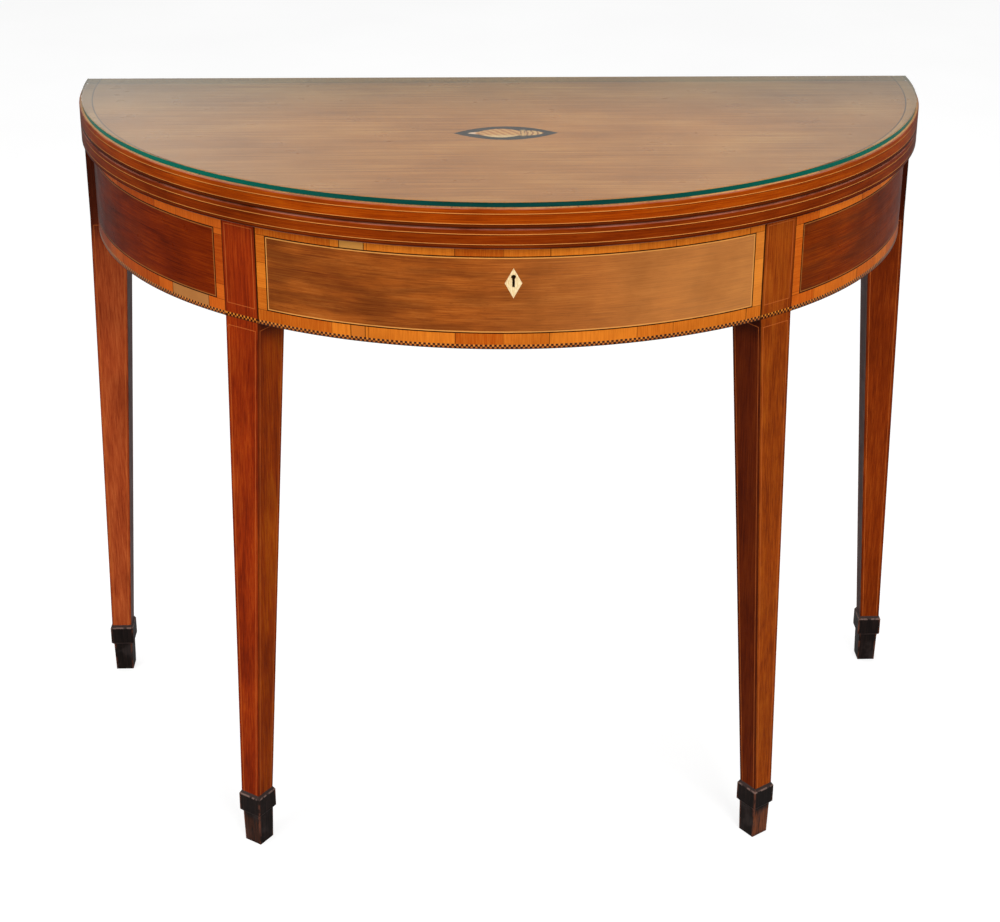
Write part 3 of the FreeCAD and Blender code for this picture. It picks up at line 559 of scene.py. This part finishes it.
def leg_material(
    name, centre, outward, sideways, outer, splay, side_place, side_share,
    seed, tones, side_shade, joint, painted_shade,
):
    """A tapered leg with a line of inlay inside the edges of every face and a chequer band on its head."""
    g = Graph(name)
    depth = g.minus(g.y, centre)
    out = g.along(outward, g.x, depth)
    side = g.along(sideways, g.x, depth)
    rise = g.math("DIVIDE", g.minus(g.z, FOOT_HEIGHT), APRON_BOTTOM - FOOT_HEIGHT, clamp=True)
    half = g.total(LEG_END / 2, g.times(rise, (LEG_TOP - LEG_END) / 2))
    face = g.total(outer, g.times(g.inverse(rise), splay))
    side_middle = g.total(side_place, g.times(half, side_share))
    from_side = g.minus(half, g.absolute(g.minus(side, side_middle)))
    from_out = g.minus(half, g.absolute(g.minus(out, g.minus(face, half))))
    normal_out = g.along(outward, g.nx, g.ny)
    facing = g.step(g.absolute(normal_out), 0.7, 0.05)
    sidelong = g.inverse(facing)
    edge = g.total(g.times(facing, from_side), g.times(sidelong, from_out))

    colour, height = wood(g, g.z, side, out, *tones, 0.7, 0.5, seed)
    colour = g.shade(sidelong, colour, side_shade)
    # Painted shade on the faces that point inward and on the head beside the apron: full on the back legs,
    # none on the front ones
    away = g.below(normal_out, -0.7, 0.05)
    shaded = g.most(away, g.times(g.step(g.z, APRON_BOTTOM - 15.0, 50.0), 0.65))
    colour = g.shade(g.times(shaded, painted_shade), colour, LEG_PAINTED_SHADE)
    # Painted shade under the apron on the legs' side faces
    under = g.times(sidelong, g.step(g.z, APRON_BOTTOM - 16.0, 14.0))
    colour = g.shade(g.times(under, 0.8), colour, UNDER_APRON_PAINTED_SHADE)

    below_band = g.minus(APRON_BOTTOM - LEG_BAND_MARGIN, g.z)
    shaft = g.band(g.least(edge, below_band), *LEG_LINE_INSET)
    above_band = g.minus(g.z, APRON_BOTTOM + BAND_HEIGHT + HEAD_BAND_MARGIN)
    below_top = g.minus(FRAME_TOP - HEAD_TOP_MARGIN, g.z)
    head = g.band(g.least(edge, g.least(above_band, below_top)), *LEG_LINE_INSET)
    worn = g.noise((side, out, g.z), (1.0, 1.0, 0.04))
    arris = g.times(g.below(edge, 0.9, 0.5), g.step(worn, 0.35, 0.1))
    colour = g.mix(g.times(arris, 0.5), smudge(g, colour, 0.5), DARK_LINE)
    lines = g.times(g.most(shaft, g.times(head, facing)), g.total(0.15, worn))
    colour = g.mix(lines, colour, LEG_LINE)
    at_band = g.band(g.z, APRON_BOTTOM, APRON_BOTTOM + BAND_HEIGHT)
    across = g.times(at_band, g.step(out, APRON_RADIUS - 3.0))
    colour = g.mix(g.times(across, facing), colour, chequer(g, side))
    # Painted shade in the gaps beside the drawer: the legs' side faces above the band turn dark
    beside_drawer = g.times(sidelong, g.step(g.z, APRON_BOTTOM))
    colour = g.mix(g.times(beside_drawer, joint), colour, END_GRAIN_AND_GAP_SHADE)
    return g.finish(colour, polish(g, 0.22, 0.25, 0.04), height, 0.1, 0.05)


def foot_material(name, centre, outward, bare):
    """Dark polish with patches of greyish bloom on the block, greyish bevels that are partly bloom and
    partly painted sheen, a pale line at the collar's top that is partly wear and partly painted highlight,
    and bare wood rubbed along the corners.
    """
    g = Graph(name)
    collar_bottom, collar_top = FOOT_COLLAR
    dx = g.minus(g.x, centre[0])
    dy = g.minus(g.y, centre[1])
    along = g.absolute(g.along(outward, dx, dy))
    across = g.absolute(g.along((-outward[1], outward[0]), dx, dy))
    base, height = wood(g, g.z, g.x, g.y, *FOOT_TONES, 0.5, 0.4)
    bloom = g.times(g.step(wear(g, 0.05), 0.55, 0.1), g.band(g.z, 0.0, collar_bottom))
    colour = g.mix(g.times(bloom, 0.25), base, FOOT_BLOOM)
    patchy = g.step(g.noise((g.x, g.y, g.z), (0.2, 0.2, 0.09), 4.0, 0.65), 0.5, 0.1)
    low = g.math("LESS_THAN", g.z, collar_bottom)
    half = g.minus(FOOT_COLLAR_WIDTH / 2, g.times(low, FOOT_BLOCK_INSET))
    corner = g.step(g.minus(g.least(along, across), half), -1.6, 0.9)
    colour = g.mix(g.times(g.times(corner, patchy), 0.7), colour, FOOT_CORNER)
    front = g.step(g.along(outward, g.nx, g.ny), 0.7, 0.1)
    streaks = g.noise((g.x, g.y, g.z), (0.6, 0.6, 0.05))
    rubbed = g.times(g.times(front, g.band(g.z, 0.0, 30.0, 5.0)), g.step(streaks, 0.45))
    colour = g.mix(g.times(rubbed, bare), colour, FOOT_BARE)
    # Bevels turn greyish: partly bloom, partly painted sheen
    bevel = g.step(g.absolute(g.nz), 0.3, 0.1)
    colour = g.mix(g.times(bevel, 0.35), colour, FOOT_BEVEL_BLOOM_AND_SHEEN)
    # Pale line at the collar's top: partly wear, partly painted highlight
    rub_line = g.times(g.band(g.z, collar_top - 0.9, collar_top + 0.9, 0.5), g.step(patchy, 0.3, 0.3))
    colour = g.mix(g.times(rub_line, 0.6), colour, FOOT_RUB_LINE_AND_GLINT)
    return g.finish(colour, polish(g, 0.3, 0.3, 0.08), height, 0.2, 0.12)


def plain_wood(name, dark, mid, light, axis, rough=0.6):
    """Bare secondary timber with its grain along one axis."""
    g = Graph(name)
    order = {"x": (g.x, g.y, g.z), "y": (g.y, g.x, g.z)}[axis]
    colour, height = wood(g, *order, dark, mid, light, 0.7, 0.4)
    return g.finish(smudge(g, colour, 0.6), polish(g, rough, 0.2, 0.03), height, 0.25)


def metal(name, colour, tarnish, rough, metallic):
    """Metal with spots of tarnish."""
    g = Graph(name)
    spots = g.step(wear(g, 0.25), 0.55, 0.12)
    mixed = g.mix(g.times(spots, 0.6), colour, tarnish)
    return g.finish(mixed, g.total(rough, g.times(spots, 0.25)), wear(g, 0.9), 0.15, 0.5, metallic)


def bone_material():
    g = Graph("bone")
    streak = g.noise((g.x, g.y, g.z), (1.6, 1.6, 0.25), 4.0)
    dark, mid, light = BONE
    colour = g.ramp(streak, ((0.3, dark), (0.5, mid), (0.7, light)))
    return g.finish(colour, 0.32, streak, 0.1)


def glass_material():
    """A clear sheet that lets light through straight. Its green ground edge mirrors the top from inside."""
    g = Graph("sheet glass")

    def either(factor, first, second):
        made = g.add("ShaderNodeMixShader", Fac=factor)
        g.tree.links.new(first.outputs[0], made.inputs[1])
        g.tree.links.new(second.outputs[0], made.inputs[2])
        return made

    inside = g.tree.nodes.new("ShaderNodeNewGeometry").outputs["Backfacing"]
    haze = g.noise((g.x, g.y, 0.0), (0.012, 0.02, 1.0), 4.0, 0.65)
    clear = g.add("ShaderNodeBsdfTransparent", Color=(0.95, 0.985, 0.97, 1))
    shine = g.add("ShaderNodeBsdfGlossy", Roughness=g.total(0.03, g.times(haze, 0.06)))
    fresnel = g.add("ShaderNodeFresnel", IOR=1.6).outputs[0]
    sheet = either(g.times(fresnel, g.inverse(inside)), clear, shine)

    arc, _ = g.arc(BACK_EDGE)
    turned = g.step(g.absolute(arc), 260.0, 240.0)
    streak = g.noise((g.x, g.y, g.z), (0.02, 0.02, 0.5), 3.0, 0.55)
    green = g.mix(turned, GLASS_FRONT, GLASS_SIDE)
    green = g.mix(g.times(g.step(streak, 0.5), 0.35), green, GLASS_STREAK)
    edge = g.add("ShaderNodeBsdfPrincipled", Base_Color=green, Roughness=0.12, Specular_IOR_Level=0.1)
    mirror = g.add("ShaderNodeBsdfGlossy", Color=(0.72, 0.82, 0.78, 1), Roughness=0.06)
    rim = either(inside, edge, mirror)
    upright = g.below(g.absolute(g.nz), 0.5, 0.05)
    both = either(upright, sheet, rim)
    g.tree.links.new(both.outputs[0], g.output.inputs["Surface"])
    return g.material


def dress(material, *names):
    for name in names:
        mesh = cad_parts[name].data
        mesh.materials.clear()
        mesh.materials.append(material)


SIDES = (("left", -1), ("right", 1))

# Glass, leaves and apron
leg_half_angle = math.degrees(math.asin(LEG_TOP / 2 / APRON_RADIUS))
drawer_half = math.radians(LEG_ANGLE - leg_half_angle) * APRON_RADIUS - DRAWER_GAP
panel_start = math.radians(LEG_ANGLE + leg_half_angle) * APRON_RADIUS
panel_end = math.acos(APRON_END / APRON_RADIUS) * APRON_RADIUS
panel_half = (panel_end - panel_start) / 2
panel_middle = (panel_end + panel_start) / 2
low_border = (APRON_BOTTOM + BAND_HEIGHT, APRON_BOTTOM + BAND_HEIGHT + BORDER_WIDTH)
high_border = (DRAWER_TOP - BORDER_WIDTH, DRAWER_TOP)
repair_span = [panel_half - distance for distance in REPAIR_FROM_END]
repair = (*repair_span, *low_border, REPAIR_TONE)
drawer_patches = (
    (*HIGH_PATCH_SPAN, *high_border, HIGH_PATCH),
    (*LOW_PATCH_SPAN, *low_border, LOW_PATCH),
)
side_panel = {"half": panel_half, "top": FRAME_TOP - SIDE_BORDER_DROP, "pale": 0.3, "fade": 0.0}

dress(glass_material(), "glass_sheet")
dress(leaf_material("upper leaf", UPPER_TOP, UPPER_RIM, low_tone_and_painted_shade=0.8, folding=True), "upper_leaf")
dress(leaf_material("lower leaf", LOWER_TOP, LOWER_RIM, low_tone_and_painted_shade=0.4, folding=False), "lower_leaf")
left_panel = apron_material(
    "apron left",
    middle=-panel_middle,
    field_tones=LEFT_FIELD,
    satin=LEFT_SATIN,
    seed=40.0,
    painted_shade=0.9,
    patches=(repair,),
    **side_panel,
)
dress(left_panel, "apron_left")
right_panel = apron_material(
    "apron right",
    middle=panel_middle,
    field_tones=RIGHT_FIELD,
    satin=RIGHT_SATIN,
    seed=900.0,
    painted_shade=0.5,
    **side_panel,
)
dress(right_panel, "apron_right")
drawer_panel = apron_material(
    "drawer front",
    middle=0.0,
    half=drawer_half,
    field_tones=DRAWER_FIELD,
    satin=DRAWER_SATIN,
    seed=300.0,
    top=DRAWER_TOP,
    pale=0.9,
    fade=0.4,
    painted_shade=0.0,
    patches=drawer_patches,
)
dress(drawer_panel, "drawer_front")
dress(chequer_material(), "chequer_band_left", "chequer_band_right", "chequer_band_drawer")
dress(bone_material(), "escutcheon")

# Front legs, with their own tones, shade of the side faces and bare wood on the foot
FRONT_LEGS = (
    ("left", -1, LEFT_LEG, (1.0, 1.4, 0.4, 1.0), 0.2),
    ("right", 1, RIGHT_LEG, (0.4, 0.28, 0.36, 1.0), 0.8),
)
for side, sign, tones, side_shade, bare in FRONT_LEGS:
    angle = math.radians(sign * LEG_ANGLE)
    outward = (math.sin(angle), -math.cos(angle))
    leg = leg_material(
        f"front leg {side}",
        centre=CURVE_CENTRE,
        outward=outward,
        sideways=(math.cos(angle), math.sin(angle)),
        outer=LEG_FACE,
        splay=FRONT_SPLAY,
        side_place=0.0,
        side_share=0.0,
        seed=210.0 * sign,
        tones=tones,
        side_shade=side_shade,
        joint=0.9,
        painted_shade=0.0,
    )
    dress(leg, f"front_leg_{side}")
    reach = LEG_FACE + FRONT_SPLAY - LEG_END / 2
    centre = (outward[0] * reach, CURVE_CENTRE + outward[1] * reach)
    dress(foot_material(f"front foot {side}", centre, outward, bare), f"foot_front_{side}")

# Back legs; the right one takes tones darkened as painted shade
back_outer = math.sqrt(APRON_RADIUS**2 - APRON_END**2) + BACK_PROUD
BACK_LEGS = (("fly_leg", "foot_fly", -1, FLY_LEG), ("back_leg_right", "foot_back_right", 1, BACK_LEG_IN_PAINTED_SHADE))
for name, foot, sign, tones in BACK_LEGS:
    outward = (sign, 0.0)
    leg = leg_material(
        name,
        centre=BACK_EDGE,
        outward=outward,
        sideways=(0.0, 1.0),
        outer=back_outer,
        splay=BACK_SPLAY,
        side_place=-BACK_INSET,
        side_share=-1.0,
        seed=510.0 * sign,
        tones=tones,
        side_shade=(1.05, 1.05, 1.05, 1.0),
        joint=0.0,
        painted_shade=1.0,
    )
    dress(leg, name)
    centre = (sign * (back_outer + BACK_SPLAY - LEG_END / 2), FLY_BACK - LEG_END / 2)
    dress(foot_material(foot, centre, outward, 0.2), foot)

# Hidden timber and metal
CROSS_RAILS = ("inner_back_rail", "front_top_rail", "front_bottom_rail", "drawer_stops")
DRAWER_SLIDES = [f"drawer_{kind}_{side}" for kind in ("runner", "guide", "kicker") for side, _ in SIDES]
HINGE_PLATES = [f"hinge_plate_{leaf}_{side}" for leaf in ("lower", "upper") for side, _ in SIDES]
dress(plain_wood("pine along x", *PINE, "x"), *CROSS_RAILS)
dress(plain_wood("pine along y", *PINE, "y"), *DRAWER_SLIDES, "glue_blocks")
dress(plain_wood("oak along x", *OAK, "x", 0.5), "drawer_back", "drawer_bottom")
dress(plain_wood("oak along y", *OAK, "y", 0.5), "drawer_side_left", "drawer_side_right")
dress(plain_wood("beech", *BEECH, "x"), "fly_rail", "fly_rail_fixed")
brass = metal("aged brass", linear(178, 142, 74), linear(96, 70, 34), 0.3, 1.0)
dress(brass, "hinge_pins", "lock_case", *HINGE_PLATES)
iron = metal("dull iron", linear(74, 68, 62), linear(70, 40, 22), 0.45, 0.9)
dress(iron, "knuckle_pin", "lock_bolt")

# Screws of the hinge plates, standing a quarter of a millimetre out of the plates
SCREW_RADIUS = 2.6
SCREW_HEIGHT = 0.5
SCREW_SLOT_HALF = 0.4
SCREW_RING = 2.25
SCREW_DISTANCES = (18.0, 30.0, 42.0)
SCREW_PLACES = (("upper", "upper_leaf", 718.8), ("lower", "frame", 703.5))
FIRST_SLOT_TURN = 35.0
SLOT_TURN_STEP = 50.0


def screw_material():
    """A small brass screw head with a dark slot across it and a dark ring, in the head's own coordinates."""
    g = Graph("screw head")
    tarnish = g.times(g.step(wear(g, 0.4), 0.5, 0.15), 0.5)
    tone = g.mix(tarnish, linear(170, 134, 70), linear(92, 68, 34))
    slot = g.below(g.absolute(g.y), SCREW_SLOT_HALF, 0.1)
    ring = g.step(g.distance(g.x, g.y), SCREW_RING, 0.15)
    dark = g.most(slot, g.times(ring, 0.8))
    colour = g.mix(dark, tone, linear(20, 14, 8))
    return g.finish(colour, g.total(0.3, g.times(dark, 0.4)), wear(g, 0.9), 0.15, 0.5, 1.0)


def add_screw(name, body, sign, level, distance, slot_turn, material):
    """A screw head on the rim of a leaf, at a distance in front of the back edge."""
    across = math.sqrt(LEAF_RADIUS**2 - distance**2)
    place = Vector((sign * across, BACK_EDGE - distance, level)) / MM_PER_METRE
    normal = Vector((sign * across, -distance, 0))
    bpy.ops.mesh.primitive_cylinder_add(
        vertices=20, radius=SCREW_RADIUS / MM_PER_METRE, depth=SCREW_HEIGHT / MM_PER_METRE, location=place
    )
    head = bpy.context.object
    head.name = name
    spin = Quaternion((0, 0, 1), math.radians(slot_turn))
    head.rotation_euler = (normal.to_track_quat("Z", "Y") @ spin).to_euler()
    head.data.materials.append(material)
    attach(head, body)


brass_screw = screw_material()
for leaf, body, level in SCREW_PLACES:
    for side, sign in SIDES:
        for number, distance in enumerate(SCREW_DISTANCES):
            slot_turn = FIRST_SLOT_TURN + SLOT_TURN_STEP * number
            name = f"screw_{leaf}_{side}_{number + 1}"
            add_screw(name, body, sign, level, distance, slot_turn, brass_screw)

# Slightly softened edges on the legs
for name in ("front_leg_left", "front_leg_right", "back_leg_right", "fly_leg"):
    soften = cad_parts[name].modifiers.new("worn edges", "BEVEL")
    soften.width = EDGE_WEAR
    soften.segments = 2
    soften.limit_method = "ANGLE"


def floor_material():
    """A pale floor that looks white to the camera and keeps the shadow."""
    g = Graph("pale floor")
    tone = g.noise((g.x, g.y, 0.0), (0.002, 0.002, 1.0), 3.0, 0.55)
    grey = g.ramp(tone, ((0.3, (0.33, 0.33, 0.33, 1)), (0.7, (0.36, 0.36, 0.36, 1))))
    diffuse = g.add("ShaderNodeBsdfDiffuse", Color=grey)
    path = g.tree.nodes.new("ShaderNodeLightPath").outputs
    seen = g.most(path["Is Camera Ray"], path["Is Transmission Ray"])
    lift = g.add("ShaderNodeEmission", Color=(1, 1, 1, 1), Strength=g.times(seen, 0.75))
    both = g.tree.nodes.new("ShaderNodeAddShader")
    g.tree.links.new(diffuse.outputs[0], both.inputs[0])
    g.tree.links.new(lift.outputs[0], both.inputs[1])
    g.tree.links.new(both.outputs[0], g.output.inputs["Surface"])
    return g.material


# Floor, just under the feet
bpy.ops.mesh.primitive_plane_add(size=FLOOR_SIZE, location=(0, 0, FLOOR_LEVEL))
floor = bpy.context.object
floor.name = "floor"
floor.data.materials.append(floor_material())

# Lights: name, place, target, size and power
LIGHTS = (
    ("key", (1.3, -2.9, 2.0), (0, 0, 0.5), (1.6, 1.6), 80),
    ("fill", (-2.2, -2.2, 1.5), (0, 0, 0.5), (1.8, 1.8), 42),
    ("overhead", (0.0, 0.3, 3.2), (0, 0, 0.6), (2.4, 2.0), 40),
)


def soft_light(name, place, target, size, power):
    light = bpy.data.lights.new(name, "AREA")
    light.shape = "RECTANGLE"
    light.size, light.size_y = size
    light.energy = power
    holder = bpy.data.objects.new(name, light)
    holder.location = place
    holder.rotation_euler = (Vector(target) - Vector(place)).to_track_quat("-Z", "Y").to_euler()
    holder.visible_glossy = False
    scene.collection.objects.link(holder)


for light in LIGHTS:
    soft_light(*light)


def studio_world():
    """Soft light all round, a little stronger from the left, and low pale walls behind at both sides."""
    world = bpy.data.worlds.new("studio")
    world.use_nodes = True
    tree = world.node_tree

    def ramp(source, low, high, bottom, top):
        made = tree.nodes.new("ShaderNodeMapRange")
        made.interpolation_type = "SMOOTHSTEP"
        for name, number in (("From Min", low), ("From Max", high), ("To Min", bottom), ("To Max", top)):
            made.inputs[name].default_value = number
        tree.links.new(source, made.inputs["Value"])
        return made.outputs["Result"]

    def calculate(operation, first, second):
        made = tree.nodes.new("ShaderNodeMath")
        made.operation = operation
        tree.links.new(first, made.inputs[0])
        tree.links.new(second, made.inputs[1])
        return made.outputs[0]

    direction = tree.nodes.new("ShaderNodeTexCoord").outputs["Generated"]
    parts = tree.nodes.new("ShaderNodeSeparateXYZ")
    tree.links.new(direction, parts.inputs[0])
    sideways, backwards, _ = parts.outputs
    behind = ramp(backwards, 0.75, 0.95, 0.0, 1.0)
    left_wall = ramp(sideways, -0.2, -0.02, 0.35, 0.0)
    right_wall = ramp(sideways, 0.02, 0.26, 0.0, 0.22)
    walls = calculate("MULTIPLY", behind, calculate("ADD", left_wall, right_wall))
    level = calculate("ADD", ramp(sideways, -0.5, 0.5, 0.6, 0.36), walls)
    seen = tree.nodes.new("ShaderNodeLightPath").outputs["Is Camera Ray"]
    background = tree.nodes["Background"]
    background.inputs["Color"].default_value = (1, 1, 1, 1)
    tree.links.new(calculate("MAXIMUM", level, seen), background.inputs["Strength"])
    return world


scene.world = studio_world()

# Camera, fitted to the photograph
PICTURE_WIDTH = 1000
FOCAL_PIXELS = 1926.5
SENSOR_WIDTH = 36
SHIFT = -0.12
CAMERA_PLACE = Vector((-0.0655, -1.8665, 1.2585))
YAW = 0.0323
PITCH = math.radians(21.8)
ROLL = 0.0042
ahead = Vector((math.sin(YAW) * math.cos(PITCH), math.cos(YAW) * math.cos(PITCH), -math.sin(PITCH)))
flat = Vector((math.cos(YAW), -math.sin(YAW), 0))
upward = flat.cross(ahead)
right = math.cos(ROLL) * flat + math.sin(ROLL) * upward
up = -math.sin(ROLL) * flat + math.cos(ROLL) * upward
lens = bpy.data.cameras.new("camera")
lens.sensor_width = SENSOR_WIDTH
lens.lens = SENSOR_WIDTH * FOCAL_PIXELS / PICTURE_WIDTH
lens.shift_y = SHIFT
lens.clip_end = VIEW_END
camera = bpy.data.objects.new("camera", lens)
camera.matrix_world = Matrix((right, up, -ahead)).transposed().to_4x4()
camera.location = CAMERA_PLACE
scene.collection.objects.link(camera)
scene.camera = camera
